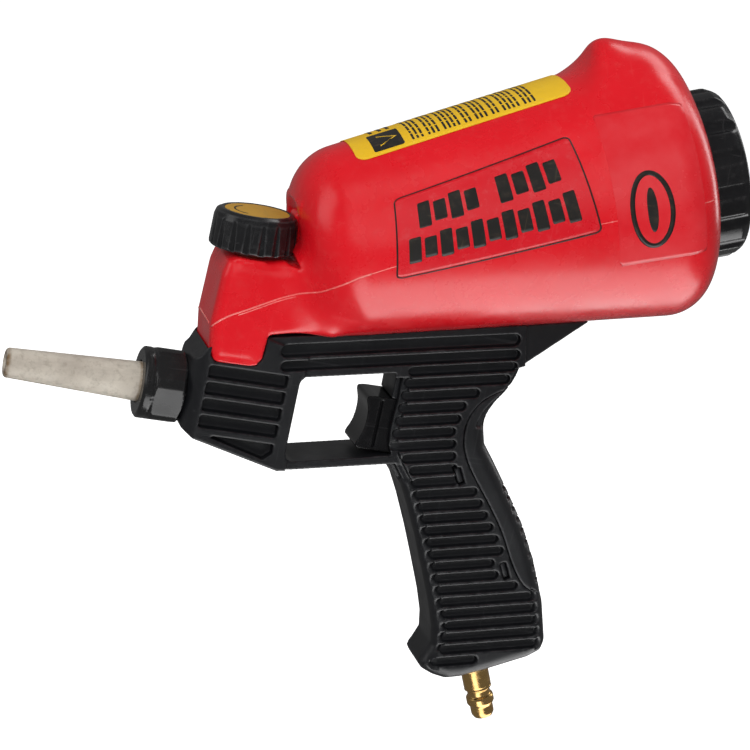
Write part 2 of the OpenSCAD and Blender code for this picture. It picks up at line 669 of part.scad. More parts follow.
// --- stickers -----------------------------------------------------------------------------
// Film on the tank's skin between two stations along its axis
module skin(s0, s1) {
    gap = 0.04;
    film = 0.2;
    t = tan(tank_taper);
    c = 1 / cos(tank_taper);
    translate([0, 0, s0]) difference() {
        cylinder(r1 = s0 * t + (gap + film) * c, r2 = s1 * t + (gap + film) * c, h = s1 - s0, $fn = 96);
        translate([0, 0, -1]) cylinder(r1 = (s0 - 1) * t + gap * c, r2 = (s1 + 1) * t + gap * c,
            h = s1 - s0 + 2, $fn = 96);
    }
}
label_half = 17.3;
module info_label() {
    color("gold") in_tank() intersection() {
        skin(293, 375.5);
        translate([-80, -label_half, 280]) cube([80, 2 * label_half, 110]);
    }
}
// The panel widens with the tank: its long edges lie in planes through the axis
module side_label() {
    color("firebrick") in_tank() intersection() {
        skin(298, 370.5);
        rotate([0, 0, -133]) cube([80, 80, 400]);
        rotate([0, 0, -172]) cube([80, 80, 400]);
    }
}

nozzle();
nozzle_seal();
nozzle_nut();
mixing_chamber();
air_jet();
spout_seal();
tank();
filler_cap();
cap_gasket();
stem_bushing();
stem_seal();
valve_stem();
metering_disc();
seat_plate();
flow_knob();
knob_screw();
knob_disc();
handle_housing();
back_strap();
trigger();
valve_body();
valve_pin();
pin_seal();
poppet_seal();
valve_spring();
valve_plug();
feed_pipe();
supply_pipe();
inlet_adapter();
air_plug();
tail_screw();
info_label();
side_label();
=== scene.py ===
"""Looks of the hand-held gravity-feed sandblaster gun. Mesh work is in millimetres, the scene in metres."""
import json
import math
import bpy
import numpy as np
from mathutils import Matrix, Vector
from mathutils.bvhtree import BVHTree


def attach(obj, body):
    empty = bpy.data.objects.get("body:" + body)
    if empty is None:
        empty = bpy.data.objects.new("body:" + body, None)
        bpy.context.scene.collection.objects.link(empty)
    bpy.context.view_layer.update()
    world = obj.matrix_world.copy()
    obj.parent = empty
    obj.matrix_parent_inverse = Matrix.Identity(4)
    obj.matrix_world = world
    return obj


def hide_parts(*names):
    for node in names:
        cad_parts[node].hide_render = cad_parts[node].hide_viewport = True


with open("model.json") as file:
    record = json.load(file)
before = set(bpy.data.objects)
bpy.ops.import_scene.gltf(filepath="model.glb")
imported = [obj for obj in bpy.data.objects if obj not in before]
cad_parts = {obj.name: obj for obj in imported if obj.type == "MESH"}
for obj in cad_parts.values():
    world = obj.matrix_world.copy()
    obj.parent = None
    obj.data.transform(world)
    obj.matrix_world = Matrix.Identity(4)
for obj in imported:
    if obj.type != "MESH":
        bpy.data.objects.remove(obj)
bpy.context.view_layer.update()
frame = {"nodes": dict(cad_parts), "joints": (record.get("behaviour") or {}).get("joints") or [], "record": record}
scene = bpy.context.scene
nodes = frame["nodes"]
joints = {j["name"]: j for j in frame["joints"]}
rng = np.random.default_rng(11)
MM = 0.001

# --- camera, light and ground ---------------------------------------------------------------
VIEW_SIDE, VIEW_UP, VIEW_ROLL = math.radians(16.5), math.radians(13.05), math.radians(12.2)
VIEW_DISTANCE, LENS = 0.975, 124.8
TARGET = Vector((0.1377, 0, 0.0153))
WORLD_LIGHT, GROUND_GLOW = 0.16, 0.95
back = Vector((-math.sin(VIEW_SIDE) * math.cos(VIEW_UP),
               -math.cos(VIEW_SIDE) * math.cos(VIEW_UP), math.sin(VIEW_UP)))
level = Vector((math.cos(VIEW_SIDE), -math.sin(VIEW_SIDE), 0))
upward = back.cross(level)
cam_x = math.cos(VIEW_ROLL) * level + math.sin(VIEW_ROLL) * upward
cam_y = -math.sin(VIEW_ROLL) * level + math.cos(VIEW_ROLL) * upward
cam_data = bpy.data.cameras.new("camera")
cam_data.lens = LENS
cam_data.clip_start = 0.05
cam = bpy.data.objects.new("camera", cam_data)
scene.collection.objects.link(cam)
cam_turn = Matrix((cam_x, cam_y, back)).transposed().to_4x4()
cam.matrix_world = Matrix.Translation(TARGET + VIEW_DISTANCE * back) @ cam_turn
scene.camera = cam
scene.view_settings.view_transform = "Standard"

world = bpy.data.worlds.new("studio")
scene.world = world
world.use_nodes = True
world.node_tree.nodes["Background"].inputs["Color"].default_value = (1, 1, 1, 1)
world.node_tree.nodes["Background"].inputs["Strength"].default_value = WORLD_LIGHT


def area_light(name, toward, distance, size, watts, glossy=True, aim=TARGET):
    """White card light that stands off from aim in a direction; glossy lets shiny pieces show it."""
    data = bpy.data.lights.new(name, "AREA")
    data.shape = "RECTANGLE"
    data.size, data.size_y = size
    data.energy = watts
    lamp = bpy.data.objects.new(name, data)
    scene.collection.objects.link(lamp)
    d = Vector(toward).normalized()
    lamp.location = aim + distance * d
    lamp.rotation_euler = d.to_track_quat("Z", "Y").to_euler()
    lamp.visible_glossy = glossy
    return lamp


# --- materials --------------------------------------------------------------------------------
class Look:
    """A Principled material built from small procedural layers."""

    def __init__(self, name, rough=0.5, metal=0.0, coat=0.0, coat_rough=0.1, ior=1.5, specular=0.5):
        self.mat = bpy.data.materials.new(name)
        self.mat.use_nodes = True
        self.tree = self.mat.node_tree
        self.bsdf = self.tree.nodes["Principled BSDF"]
        self.set("Roughness", rough)
        self.set("Metallic", metal)
        self.set("Coat Weight", coat)
        self.set("Coat Roughness", coat_rough)
        self.set("IOR", ior)
        self.set("Specular IOR Level", specular)
        self.height = None

    def set(self, socket, value):
        self.bsdf.inputs[socket].default_value = value

    def link(self, a, b):
        self.tree.links.new(a, b)

    def node(self, kind, **values):
        n = self.tree.nodes.new(kind)
        for k, v in values.items():
            setattr(n, k, v)
        return n

    def coords(self, stretch=(1, 1, 1), turn=(0, 0, 0)):
        c = self.node("ShaderNodeTexCoord")
        m = self.node("ShaderNodeMapping")
        m.inputs["Scale"].default_value = stretch
        m.inputs["Rotation"].default_value = turn
        self.link(c.outputs["Object"], m.inputs["Vector"])
        return m.outputs["Vector"]

    def noise(self, scale, detail=4, rough=0.55, stretch=(1, 1, 1), turn=(0, 0, 0)):
        n = self.node("ShaderNodeTexNoise")
        n.inputs["Scale"].default_value = scale
        n.inputs["Detail"].default_value = detail
        n.inputs["Roughness"].default_value = rough
        self.link(self.coords(stretch, turn), n.inputs["Vector"])
        return n.outputs["Fac"]

    def fit(self, value, a, b, lo=0.0, hi=1.0):
        n = self.node("ShaderNodeMapRange")
        n.inputs["From Min"].default_value = a
        n.inputs["From Max"].default_value = b
        n.inputs["To Min"].default_value = lo
        n.inputs["To Max"].default_value = hi
        self.link(value, n.inputs["Value"])
        return n.outputs["Result"]

    def math(self, op, a, b):
        n = self.node("ShaderNodeMath", operation=op)
        for i, v in enumerate((a, b)):
            if isinstance(v, (int, float)):
                n.inputs[i].default_value = v
            else:
                self.link(v, n.inputs[i])
        return n.outputs["Value"]

    def mix(self, fac, a, b):
        n = self.node("ShaderNodeMix", data_type="RGBA")
        if isinstance(fac, (int, float)):
            n.inputs[0].default_value = fac
        else:
            self.link(fac, n.inputs[0])
        for i, v in ((6, a), (7, b)):
            if isinstance(v, tuple):
                n.inputs[i].default_value = (*v, 1)
            else:
                self.link(v, n.inputs[i])
        return n.outputs[2]

    def wear(self, name="wear"):
        # Convex-edge mask: real wear, and on the knob also a painted highlight.
        return self.node("ShaderNodeAttribute", attribute_name=name).outputs["Fac"]

    def colour(self, socket):
        if isinstance(socket, tuple):
            self.set("Base Color", (*socket, 1))
        else:
            self.link(socket, self.bsdf.inputs["Base Color"])

    def roughness(self, socket):
        self.link(socket, self.bsdf.inputs["Roughness"])

    def bump(self, height, depth_mm, strength=1.0):
        n = self.node("ShaderNodeBump")
        n.inputs["Strength"].default_value = strength
        n.inputs["Distance"].default_value = depth_mm * MM
        self.link(height, n.inputs["Height"])
        if self.height is not None:
            self.link(self.height, n.inputs["Normal"])
        self.height = n.outputs["Normal"]
        self.link(self.height, self.bsdf.inputs["Normal"])


def plastic(name, base, pale, rough, grain_mm=0.02, grain_scale=1500, edge=0.0, edge_colour=(0.3, 0.3, 0.3),
            dust=0.0, dust_colour=(0.3, 0.3, 0.29), scratch=0.25, chip_and_highlight_range=(0.4, 0.62), **more):
    """Moulded plastic: cloudy tone, fine grain, hair scratches, worn edges and settled dust; on the knob the
    worn-edge layer is also a painted highlight.
    """
    k = Look(name, rough=rough, **more)
    cloud = k.fit(k.noise(28, 5), 0.35, 0.7)
    tone = k.mix(cloud, base, pale)
    if dust:
        speck = k.fit(k.noise(260, 6, 0.7), 0.52, 0.72)
        tone = k.mix(k.math("MULTIPLY", speck, dust), tone, dust_colour)
    hair = k.fit(k.noise(900, 2, 0.5, (0.03, 1, 0.7), (0.3, 0.5, 0.9)), 0.66, 0.72)
    hair2 = k.fit(k.noise(800, 2, 0.5, (1, 0.05, 0.04), (0.8, 0.2, 0.4)), 0.67, 0.73)
    lines = k.math("MULTIPLY", k.math("MAXIMUM", hair, hair2), scratch)
    tone = k.mix(lines, tone, edge_colour)
    # Pale layer on convex edges: real edge wear, and on the knob also a painted highlight on the flute edges.
    if edge:
        chip_and_highlight_mask = k.fit(k.noise(420, 5, 0.7), *chip_and_highlight_range)
        worn = k.math("MULTIPLY", k.math("MULTIPLY", k.wear(), chip_and_highlight_mask), edge)
        tone = k.mix(worn, tone, edge_colour)
    k.colour(tone)
    k.roughness(k.fit(k.noise(70, 5, 0.6), 0.3, 0.75, max(rough - 0.07, 0.04), rough + 0.09))
    k.bump(k.noise(grain_scale, 3, 0.6), grain_mm, 0.6)
    k.bump(lines, -0.01, 0.5)
    return k


def metal(name, base, dark, rough, turned=(1, 1, 1), stain=0.5):
    """Turned metal: fine tool lines, stained patches and small knocks."""
    k = Look(name, rough=rough, metal=1.0)
    patch = k.fit(k.noise(110, 6, 0.65), 0.42, 0.72)
    fine = k.noise(2600, 2, 0.5, turned)
    tone = k.mix(k.math("MULTIPLY", patch, stain), base, dark)
    tone = k.mix(k.fit(fine, 0.3, 0.8, 0.0, 0.3), tone, dark)
    k.colour(tone)
    k.roughness(k.fit(k.noise(300, 4), 0.3, 0.7, rough - 0.08, rough + 0.12))
    k.bump(fine, 0.012, 0.6)
    k.bump(k.noise(500, 3), 0.02, 0.3)
    return k


RED, RED_PALE = (0.68, 0.0040, 0.011), (0.74, 0.0075, 0.016)
red = plastic("tank_red", RED, RED_PALE, 0.27, grain_mm=0.012, grain_scale=1100,
              edge=0.35, edge_colour=(0.85, 0.16, 0.15), dust=0.06, dust_colour=(0.75, 0.25, 0.22),
              scratch=0.05, coat=0.15, coat_rough=0.2)
charcoal = plastic("housing_black", (0.0060, 0.0064, 0.0078), (0.0105, 0.0110, 0.0126), 0.40,
                   grain_mm=0.022, grain_scale=1700, edge=0.45, edge_colour=(0.10, 0.10, 0.105),
                   dust=0.10, dust_colour=(0.05, 0.05, 0.05), scratch=0.10)
# Strap black: a lighter copy of the housing black, whose raised base colour is a painted sheen on the strap.
strap_black_with_sheen = plastic("strap_black", (0.0080, 0.0085, 0.0100), (0.0130, 0.0136, 0.0152), 0.42,
                     grain_mm=0.022, grain_scale=1700, edge=0.4, edge_colour=(0.10, 0.10, 0.105),
                     dust=0.10, dust_colour=(0.05, 0.05, 0.05), scratch=0.10)
gloss = plastic("trigger_black", (0.004, 0.004, 0.0045), (0.008, 0.008, 0.009), 0.2,
                grain_mm=0.008, grain_scale=900, edge=0.4, edge_colour=(0.08, 0.08, 0.08),
                dust=0.10, dust_colour=(0.04, 0.04, 0.04), scratch=0.08, specular=0.3)
cap_look = plastic("cap_black", (0.004, 0.004, 0.005), (0.009, 0.009, 0.010), 0.2,
                   grain_mm=0.01, grain_scale=800, edge=0.35, edge_colour=(0.13, 0.13, 0.13),
                   dust=0.2, dust_colour=(0.05, 0.05, 0.05), scratch=0.07)
# Knob black: its strong pale edge layer is partly real wear and partly a painted highlight on the flute edges.
knob_black_and_edge_highlight = plastic("knob_black", (0.006, 0.006, 0.007), (0.011, 0.011, 0.012), 0.24,
                    grain_mm=0.012, grain_scale=1300, edge=0.9, edge_colour=(0.16, 0.16, 0.165),
                    dust=0.2, dust_colour=(0.07, 0.07, 0.07), scratch=0.08, chip_and_highlight_range=(0.2, 0.5))
nut_look = plastic("nut_black", (0.006, 0.006, 0.0065), (0.011, 0.011, 0.0115), 0.24,
                   grain_mm=0.012, grain_scale=1100, edge=0.25, edge_colour=(0.14, 0.14, 0.145),
                   dust=0.12, dust_colour=(0.06, 0.06, 0.057), scratch=0.06)
rubber = plastic("seal_rubber", (0.012, 0.012, 0.012), (0.022, 0.022, 0.022), 0.7,
                 grain_mm=0.03, grain_scale=2200)
ochre = plastic("knob_yellow", (0.50, 0.27, 0.028), (0.58, 0.34, 0.05), 0.6,
                grain_mm=0.02, grain_scale=1400, edge_colour=(0.3, 0.2, 0.06),
                dust=0.5, dust_colour=(0.30, 0.18, 0.04), scratch=0.2)
yellow = plastic("label_yellow", (0.80, 0.46, 0.008), (0.86, 0.54, 0.02), 0.5,
                 grain_mm=0.01, grain_scale=900, edge_colour=(0.9, 0.8, 0.5),
                 dust=0.15, dust_colour=(0.5, 0.3, 0.05), scratch=0.05)
film_red = plastic("label_red", (0.62, 0.005, 0.013), (0.66, 0.010, 0.020), 0.26,
                   grain_mm=0.01, grain_scale=700, edge_colour=(0.9, 0.5, 0.5),
                   dust=0.1, dust_colour=(0.7, 0.3, 0.3), scratch=0.03)
ink = plastic("print_black", (0.012, 0.011, 0.010), (0.022, 0.02, 0.018), 0.42,
              grain_mm=0.008, grain_scale=900, edge_colour=(0.3, 0.2, 0.1),
              dust=0.2, dust_colour=(0.12, 0.08, 0.05), scratch=0.12)
brass = metal("plug_brass", (0.83, 0.53, 0.20), (0.42, 0.22, 0.06), 0.24, (1, 1, 14), 0.55)
fitting = metal("fitting_brass", (0.78, 0.52, 0.22), (0.40, 0.24, 0.08), 0.3)
aluminium = metal("valve_aluminium", (0.74, 0.75, 0.76), (0.42, 0.43, 0.44), 0.36, (14, 1, 1), 0.4)
steel = metal("stem_steel", (0.56, 0.56, 0.56), (0.26, 0.25, 0.24), 0.32, (1, 1, 12), 0.4)


def ceramic_look():
    """Unglazed ceramic with ground-in grey dust, brown at the worn outlet and at the nut."""
    k = Look("nozzle_ceramic", rough=0.6)
    tone = k.mix(k.fit(k.noise(60, 6, 0.65), 0.35, 0.7), (0.60, 0.55, 0.47), (0.44, 0.39, 0.33))
    tone = k.mix(k.fit(k.noise(330, 6, 0.75), 0.5, 0.75, 0, 0.75), tone, (0.24, 0.20, 0.16))
    streak = k.fit(k.noise(160, 5, 0.7, (0.25, 1, 1)), 0.52, 0.78, 0, 0.55)
    tone = k.mix(streak, tone, (0.32, 0.28, 0.24))
    tone = k.mix(k.math("MULTIPLY", k.wear(), k.fit(k.noise(300, 4), 0.25, 0.6)), tone, (0.17, 0.105, 0.05))
    k.colour(tone)
    k.roughness(k.fit(k.noise(200, 4), 0.3, 0.7, 0.42, 0.75))
    k.bump(k.noise(900, 5, 0.7), 0.05, 0.7)
    return k


ceramic = ceramic_look()


def clear_film_look():
    """Clear tape over the red tank, slightly rippled."""
    k = Look("clear_film", rough=0.2)
    k.colour(k.mix(k.fit(k.noise(120, 4), 0.3, 0.7), (0.67, 0.012, 0.020), (0.70, 0.032, 0.040)))
    k.roughness(k.fit(k.noise(90, 4), 0.3, 0.7, 0.16, 0.3))
    k.bump(k.noise(140, 3), 0.05, 0.5)
    return k


film_look = clear_film_look()
# Seam bead: the pale pink tone is a painted highlight along the ridge; the scuff lines are real wear.
seam_red_with_highlight = plastic("seam_red_and_highlight", (0.72, 0.05, 0.05), (0.86, 0.30, 0.27), 0.4,
                    grain_mm=0.02, grain_scale=900, edge_colour=(0.9, 0.6, 0.55),
                    dust=0.3, dust_colour=(0.85, 0.5, 0.45), scratch=0.5)

ground = bpy.data.materials.new("ground")
ground.use_nodes = True
g = ground.node_tree.nodes["Principled BSDF"]
g.inputs["Base Color"].default_value = (0.8, 0.8, 0.8, 1)
g.inputs["Roughness"].default_value = 0.9
g.inputs["Emission Color"].default_value = (1, 1, 1, 1)
g.inputs["Emission Strength"].default_value = GROUND_GLOW


# --- mesh kit ---------------------------------------------------------------------------------
def build(name, co, faces, look, smooth=True):
    """Object from points in mm and faces of one size, or a list of faces."""
    mesh = bpy.data.meshes.new(name)
    mesh.from_pydata((np.asarray(co) * MM).tolist(), [], faces if isinstance(faces, list) else faces.tolist())
    mesh.update()
    obj = bpy.data.objects.new(name, mesh)
    scene.collection.objects.link(obj)
    for one in look if isinstance(look, (list, tuple)) else [look]:
        mesh.materials.append(one.mat)
    mesh.shade_smooth() if smooth else mesh.shade_flat()
    return obj


def voxels(node, size):
    """Even quad mesh of a CAD node, as points in mm and quads."""
    mesh = nodes[node].data.copy()
    work = bpy.data.objects.new("work", mesh)
    scene.collection.objects.link(work)
    mod = work.modifiers.new("remesh", "REMESH")
    mod.mode = "VOXEL"
    mod.voxel_size = size * MM
    out = bpy.data.meshes.new_from_object(work.evaluated_get(bpy.context.evaluated_depsgraph_get()))
    co = np.zeros(len(out.vertices) * 3, np.float32)
    out.vertices.foreach_get("co", co)
    faces = np.zeros(len(out.loops), np.int32)
    out.loops.foreach_get("vertex_index", faces)
    bpy.data.objects.remove(work)
    bpy.data.meshes.remove(mesh)
    bpy.data.meshes.remove(out)
    return co.reshape(-1, 3).astype(float) / MM, faces.reshape(-1, 4)


class Skin:
    """Points and quads with the operations that shape them."""

    def __init__(self, co, faces):
        self.co, self.faces = co, faces
        e = np.concatenate([faces[:, [i, (i + 1) % 4]] for i in range(4)])
        e = np.unique(np.sort(e, axis=1), axis=0)
        self.a = np.concatenate([e[:, 0], e[:, 1]])
        self.b = np.concatenate([e[:, 1], e[:, 0]])
        self.count = np.maximum(np.bincount(self.a, minlength=len(co)), 1)

    def mean(self, values):
        n = len(self.co)
        if values.ndim == 1:
            return np.bincount(self.a, values[self.b], n) / self.count
        sums = [np.bincount(self.a, values[self.b, i], n) / self.count for i in range(values.shape[1])]
        return np.stack(sums, 1)

    def normals(self):
        p = self.co[self.faces]
        f = np.cross(p[:, 2] - p[:, 0], p[:, 3] - p[:, 1])
        count = len(self.co)
        n = np.stack([sum(np.bincount(self.faces[:, j], f[:, i], count) for j in range(4))
                      for i in range(3)], 1)
        return n / np.maximum(np.linalg.norm(n, axis=1, keepdims=True), 1e-9)

    def relax(self, weight, times, back_step=0.0):
        """Laplacian smoothing, with a back step that keeps the volume when it is not 0."""
        w = np.broadcast_to(weight, len(self.co))[:, None]
        for _ in range(times):
            self.co = self.co + 0.5 * w * (self.mean(self.co) - self.co)
            if back_step:
                self.co = self.co - back_step * w * (self.mean(self.co) - self.co)

    def edge_wear_and_highlight(self, reach=1, gain=6.0):
        """0 to 1 on convex edges."""
        n = self.normals()
        bend = ((self.co - self.mean(self.co)) * n).sum(1)
        for _ in range(reach):
            bend = 0.5 * bend + 0.5 * self.mean(bend)
        return np.clip(bend * gain, 0, 1)


def joined(parts):
    """Several (points, faces) pairs as one."""
    co, faces, base = [], [], 0
    for c, f in parts:
        co.append(c)
        faces += [tuple(i + base for i in q) for q in f]
        base += len(c)
    return np.concatenate(co), faces


def set_wear_and_highlight(obj, values):
    # The wear attribute is real edge wear, and on the knob also the mask of a painted highlight.
    attribute = obj.data.attributes.new("wear", "FLOAT", "POINT")
    attribute.data.foreach_set("value", np.asarray(values, np.float32))


def place(obj, body, node=None):
    """Puts a piece on its body and the CAD node that it stands for."""
    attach(obj, body)
    if node:
        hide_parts(node)
    return obj


def moulded(name, node, body, size, look, slot, relax, gain, shape):
    """Stands for a CAD node with softened edges and worn corners; on the knob the worn-corner mask also carries a
    painted highlight.
    """
    skin = Skin(*voxels(node, size))
    skin.relax(1.0, relax, 0.52)
    if shape:
        shape(skin)
    obj = build(name, skin.co, skin.faces, look)
    set_wear_and_highlight(obj, skin.edge_wear_and_highlight(1, gain))
    return place(obj, body, node)


def lathe(profile, sides=112, wobble=0.0):
    """Closed profile of (along, radius) turned round Z: points in mm and quads."""
    p = np.array(profile, float)
    n = len(p)
    turn = np.arange(sides) * 2 * math.pi / sides
    r = p[:, 1][None, :] * (1 + wobble * (rng.random((sides, n)) - 0.5))
    co = np.stack([r * np.cos(turn)[:, None], r * np.sin(turn)[:, None],
                   np.broadcast_to(p[:, 0], (sides, n))], 2).reshape(-1, 3)
    i, j = np.meshgrid(np.arange(sides), np.arange(n), indexing="ij")
    i2, j2 = (i + 1) % sides, (j + 1) % n
    faces = np.stack([i * n + j, i2 * n + j, i2 * n + j2, i * n + j2], 2).reshape(-1, 4)
    return co, faces


def refine(profile, step):
    """Adds points so that no gap in the closed profile is longer than step."""
    out = []
    for k, a in enumerate(profile):
        b = profile[(k + 1) % len(profile)]
        count = max(1, math.ceil(math.dist(a, b) / step))
        out += [(a[0] + (b[0] - a[0]) * i / count, a[1] + (b[1] - a[1]) * i / count) for i in range(count)]
    return out


def soften(profile, times):
    """Rounds the corners of a closed profile."""
    p = np.array(profile, float)
    for _ in range(times):
        p = 0.5 * p + 0.25 * (np.roll(p, 1, 0) + np.roll(p, -1, 0))
    return [tuple(q) for q in p]


def carried(co, origin, axis):
    """Points built round Z moved to an origin in metres and an axis."""
    m = Vector(axis).to_track_quat("Z", "Y").to_matrix()
    return co @ np.array(m).T + np.array(origin) / MM


# --- tank -------------------------------------------------------------------------------------
TILT = math.atan2(joints["cap_turn"]["axis"][2], joints["cap_turn"]["axis"][0])
AXIS = np.array([math.cos(TILT), 0, math.sin(TILT)])
DOWN = np.array([math.sin(TILT), 0, -math.cos(TILT)])
APEX = np.array(joints["cap_turn"]["pos_m"]) / MM - 421 * AXIS
TAPER = math.radians(7.05)
TANK_FRONT, TANK_MIDDLE, TANK_REAR = 269.5, 345, 420.0
FRONT_ROUND, REAR_ROUND = 18, 17
NECK_HALF, NECK_ROUND, FOOT_ROUND, NECK_BLEND = 16.5, 4.5, 2.0, 15
SHOULDER_BLEND, RIDGE_FOOT, RIDGE_ROUND, RIDGE_BLEND = 2.5, 112, 9, 7
NECK = np.array([[73, 15.2], [88, 15.8], [90.2, 18.6], [90.8, 27.8], [98, 29.5], [112, 32.8], [112, 54.4],
                 [74, 54.4], [70.8, 52.4], [69.6, 47.5], [69, 28], [70.4, 18]])


def smooth_max(a, b, k):
    """Larger of two distances, with a soft fold of width k between them."""
    h = np.maximum(k - np.abs(a - b), 0)
    return np.maximum(a, b) + h * h / (4 * k)


def round_max(a, b, r):
    """Corner between two faces rounded to radius r."""
    out = np.hypot(np.maximum(a + r, 0), np.maximum(b + r, 0)) - r
    return np.where((a < -r) | (b < -r), np.maximum(a, b), out)


def outline_distance(p, poly):
    """Signed distance from points to a closed outline, negative inside."""
    a, b = poly, np.roll(poly, -1, 0)
    d = b - a
    best = np.full(len(p), 1e9)
    inside = np.zeros(len(p), bool)
    for i in range(len(poly)):
        v = p - a[i]
        t = np.clip((v @ d[i]) / (d[i] @ d[i]), 0, 1)
        best = np.minimum(best, np.linalg.norm(v - t[:, None] * d[i], axis=1))
        cross = (a[i, 1] > p[:, 1]) != (b[i, 1] > p[:, 1])
        if abs(d[i, 1]) > 1e-9:
            inside ^= cross & (p[:, 0] < a[i, 0] + (p[:, 1] - a[i, 1]) * d[i, 0] / d[i, 1])
    return np.where(inside, -best, best)


def tank_parts(p):
    """Distances from the tapered barrel, the neck and the ridge on the rear top."""
    q = p - APEX
    s, v, y = q @ AXIS, q @ DOWN, p[:, 1]
    r = np.hypot(v, y)
    side = r * math.cos(TAPER) - s * math.sin(TAPER)
    barrel = round_max(side, TANK_FRONT - s, FRONT_ROUND)
    barrel = np.where(s > TANK_MIDDLE, round_max(side, s - TANK_REAR, REAR_ROUND), barrel)
    x, z = p[:, 0], p[:, 2]
    flat = outline_distance(p[:, [0, 2]], NECK)
    neck = np.where((x < 86) | (z > 40), round_max(flat, np.abs(y) - NECK_HALF, NECK_ROUND),
                    round_max(flat, np.abs(y) - NECK_HALF, FOOT_ROUND))
    # sloping shoulders under the knob, then the planes of the ridge: top, rear slope, rear and flanks
    neck = smooth_max(neck, 0.80 * np.abs(y) + 0.60 * z - 44.6, SHOULDER_BLEND)
    top = smooth_max(z - 155.2, 0.869 * x + 0.494 * z - 266.4, RIDGE_ROUND)
    top = smooth_max(top, 191.2 - x + 0.03 * (z - 130), 7)
    flank = smooth_max(0.903 * np.abs(y) + 0.429 * z - 77.2, 0.74 * np.abs(y) + 0.673 * z - 111.5, 8)
    ridge = smooth_max(top, flank, RIDGE_ROUND)
    return barrel, neck, smooth_max(ridge, RIDGE_FOOT - z, 4)


def tank_distance(p):
    barrel, neck, ridge = tank_parts(p)
    body = -smooth_max(-barrel, -ridge, RIDGE_BLEND)
    return -smooth_max(-body, -neck, NECK_BLEND)


def slope(f, p, h=0.25):
    """Unit direction in which the distance f grows."""
    g = np.stack([(f(p + d) - f(p - d)) / (2 * h) for d in np.eye(3) * h], 1)
    return g / np.maximum(np.linalg.norm(g, axis=1, keepdims=True), 1e-6)


def snap(p, steps=3, limit=2.5):
    """Points moved onto the tank's outer face."""
    for _ in range(steps):
        p = p - np.clip(tank_distance(p), -limit, limit)[:, None] * slope(tank_distance, p)
    return p


def sees_out(skin, reach):
    """True for points whose outward normal leaves the piece."""
    tree = BVHTree.FromPolygons(skin.co.tolist(), skin.faces.tolist())
    n = skin.normals()
    free = np.zeros(len(skin.co), bool)
    for i, (c, d) in enumerate(zip(skin.co, n)):
        free[i] = tree.ray_cast(Vector(c + 0.4 * d), Vector(d), reach)[0] is None
    return free


knob_axis = np.array(joints["knob_turn"]["axis"])
knob_foot = np.array(joints["knob_turn"]["pos_m"]) / MM
POCKET_RADIUS, POCKET_LOW, POCKET_HIGH = 17.0, 55.2, 76
WALL_REACH = 130


def knob_room(p):
    """Distance from the pocket that the knob turns in, negative inside it."""
    q = p - knob_foot
    h = q @ knob_axis
    r = np.linalg.norm(q - h[:, None] * knob_axis, axis=1)
    return np.maximum(r - POCKET_RADIUS, np.maximum(POCKET_LOW - h, h - POCKET_HIGH))


def shape_tank():
    """The CAD tank with its outer face drawn onto the smooth blended form."""
    skin = Skin(*voxels("tank", 0.75))
    p = skin.co
    s = (p - APEX) @ AXIS
    outer = sees_out(skin, WALL_REACH) & (np.abs(tank_distance(p)) < 7)
    outer &= (s < TANK_REAR - 1.5) & (p[:, 2] > 16.5)
    keep = knob_room(p) > 0.9
    weight = (outer & keep).astype(float)
    solid = weight > 0.5
    skin.relax(1.0, 3, 0.52)
    soft = np.minimum(weight, skin.mean(skin.mean(weight)))
    for k in range(4):
        target = snap(skin.co[solid], 2)
        skin.co[solid] += (target - skin.co[solid]) * (0.85 * soft[solid] + 0.15)[:, None]
        n = skin.normals()
        move = skin.mean(skin.co) - skin.co
        move -= (move * n).sum(1)[:, None] * n
        skin.co[solid] += 0.5 * move[solid]
    skin.relax(np.where(solid, 1.0, 0.6), 5, 0.0)
    return skin


def sweep_bead(points, normals, half_width, rise, sides=8):
    """Low raised line that follows a surface: points in mm and quads plus end caps."""
    p = np.asarray(points)
    along = np.gradient(p, axis=0)
    along /= np.linalg.norm(along, axis=1, keepdims=True)
    across = np.cross(normals, along)
    across /= np.linalg.norm(across, axis=1, keepdims=True)
    ring = [across * (half_width * math.cos(t)) + normals * (rise * math.sin(t) - 0.12)
            for t in (2 * math.pi * k / sides for k in range(sides))]
    co = np.stack([p + r for r in ring], 1).reshape(-1, 3)
    n = len(p)
    faces = [(i * sides + k, i * sides + (k + 1) % sides,
              (i + 1) * sides + (k + 1) % sides, (i + 1) * sides + k)
             for i in range(n - 1) for k in range(sides)]
    caps = [tuple(range(sides))[::-1], tuple((n - 1) * sides + k for k in range(sides))]
    return co, faces + caps


SEAM = [(69.0, 27.6), (70.5, 30.2), (73.6, 32.9), (78.4, 35.4), (83.7, 38.2), (89.9, 41.7),
        (98.1, 45.9), (103.4, 48.2), (107.5, 52.2), (110.7, 55.2), (113.8, 58.1), (124.8, 64.3),
        (140.5, 71.6), (160.6, 79.9), (180.8, 87.9), (207.8, 99.0), (228.8, 107.4), (236.5, 109.6)]
NECK_END_X = 118


def seam_line(seam, side):
    """Parting line on one side, from the neck's front to the rear shoulder."""
    seam = np.array(seam)
    far = np.concatenate([[0], np.cumsum(np.linalg.norm(np.diff(seam, axis=0), axis=1))])
    t = np.arange(0, far[-1], 0.7)
    x, z = np.interp(t, far, seam[:, 0]), np.interp(t, far, seam[:, 1])
    out = []
    ys = np.linspace(0, 60, 241)
    for a, c in zip(x, z):
        d = tank_distance(np.stack([np.full(len(ys), a + 0.4), ys, np.full(len(ys), c)], 1))
        inside = np.nonzero(d < 0)[0]
        if len(inside):
            out.append((a + 0.4, side * ys[inside[-1]], c))
    p = snap(np.array(out), 3)
    for _ in range(6):
        p[1:-1] = 0.5 * p[1:-1] + 0.25 * (p[:-2] + p[2:])
    p = snap(p, 2)
    return p, slope(tank_distance, p)


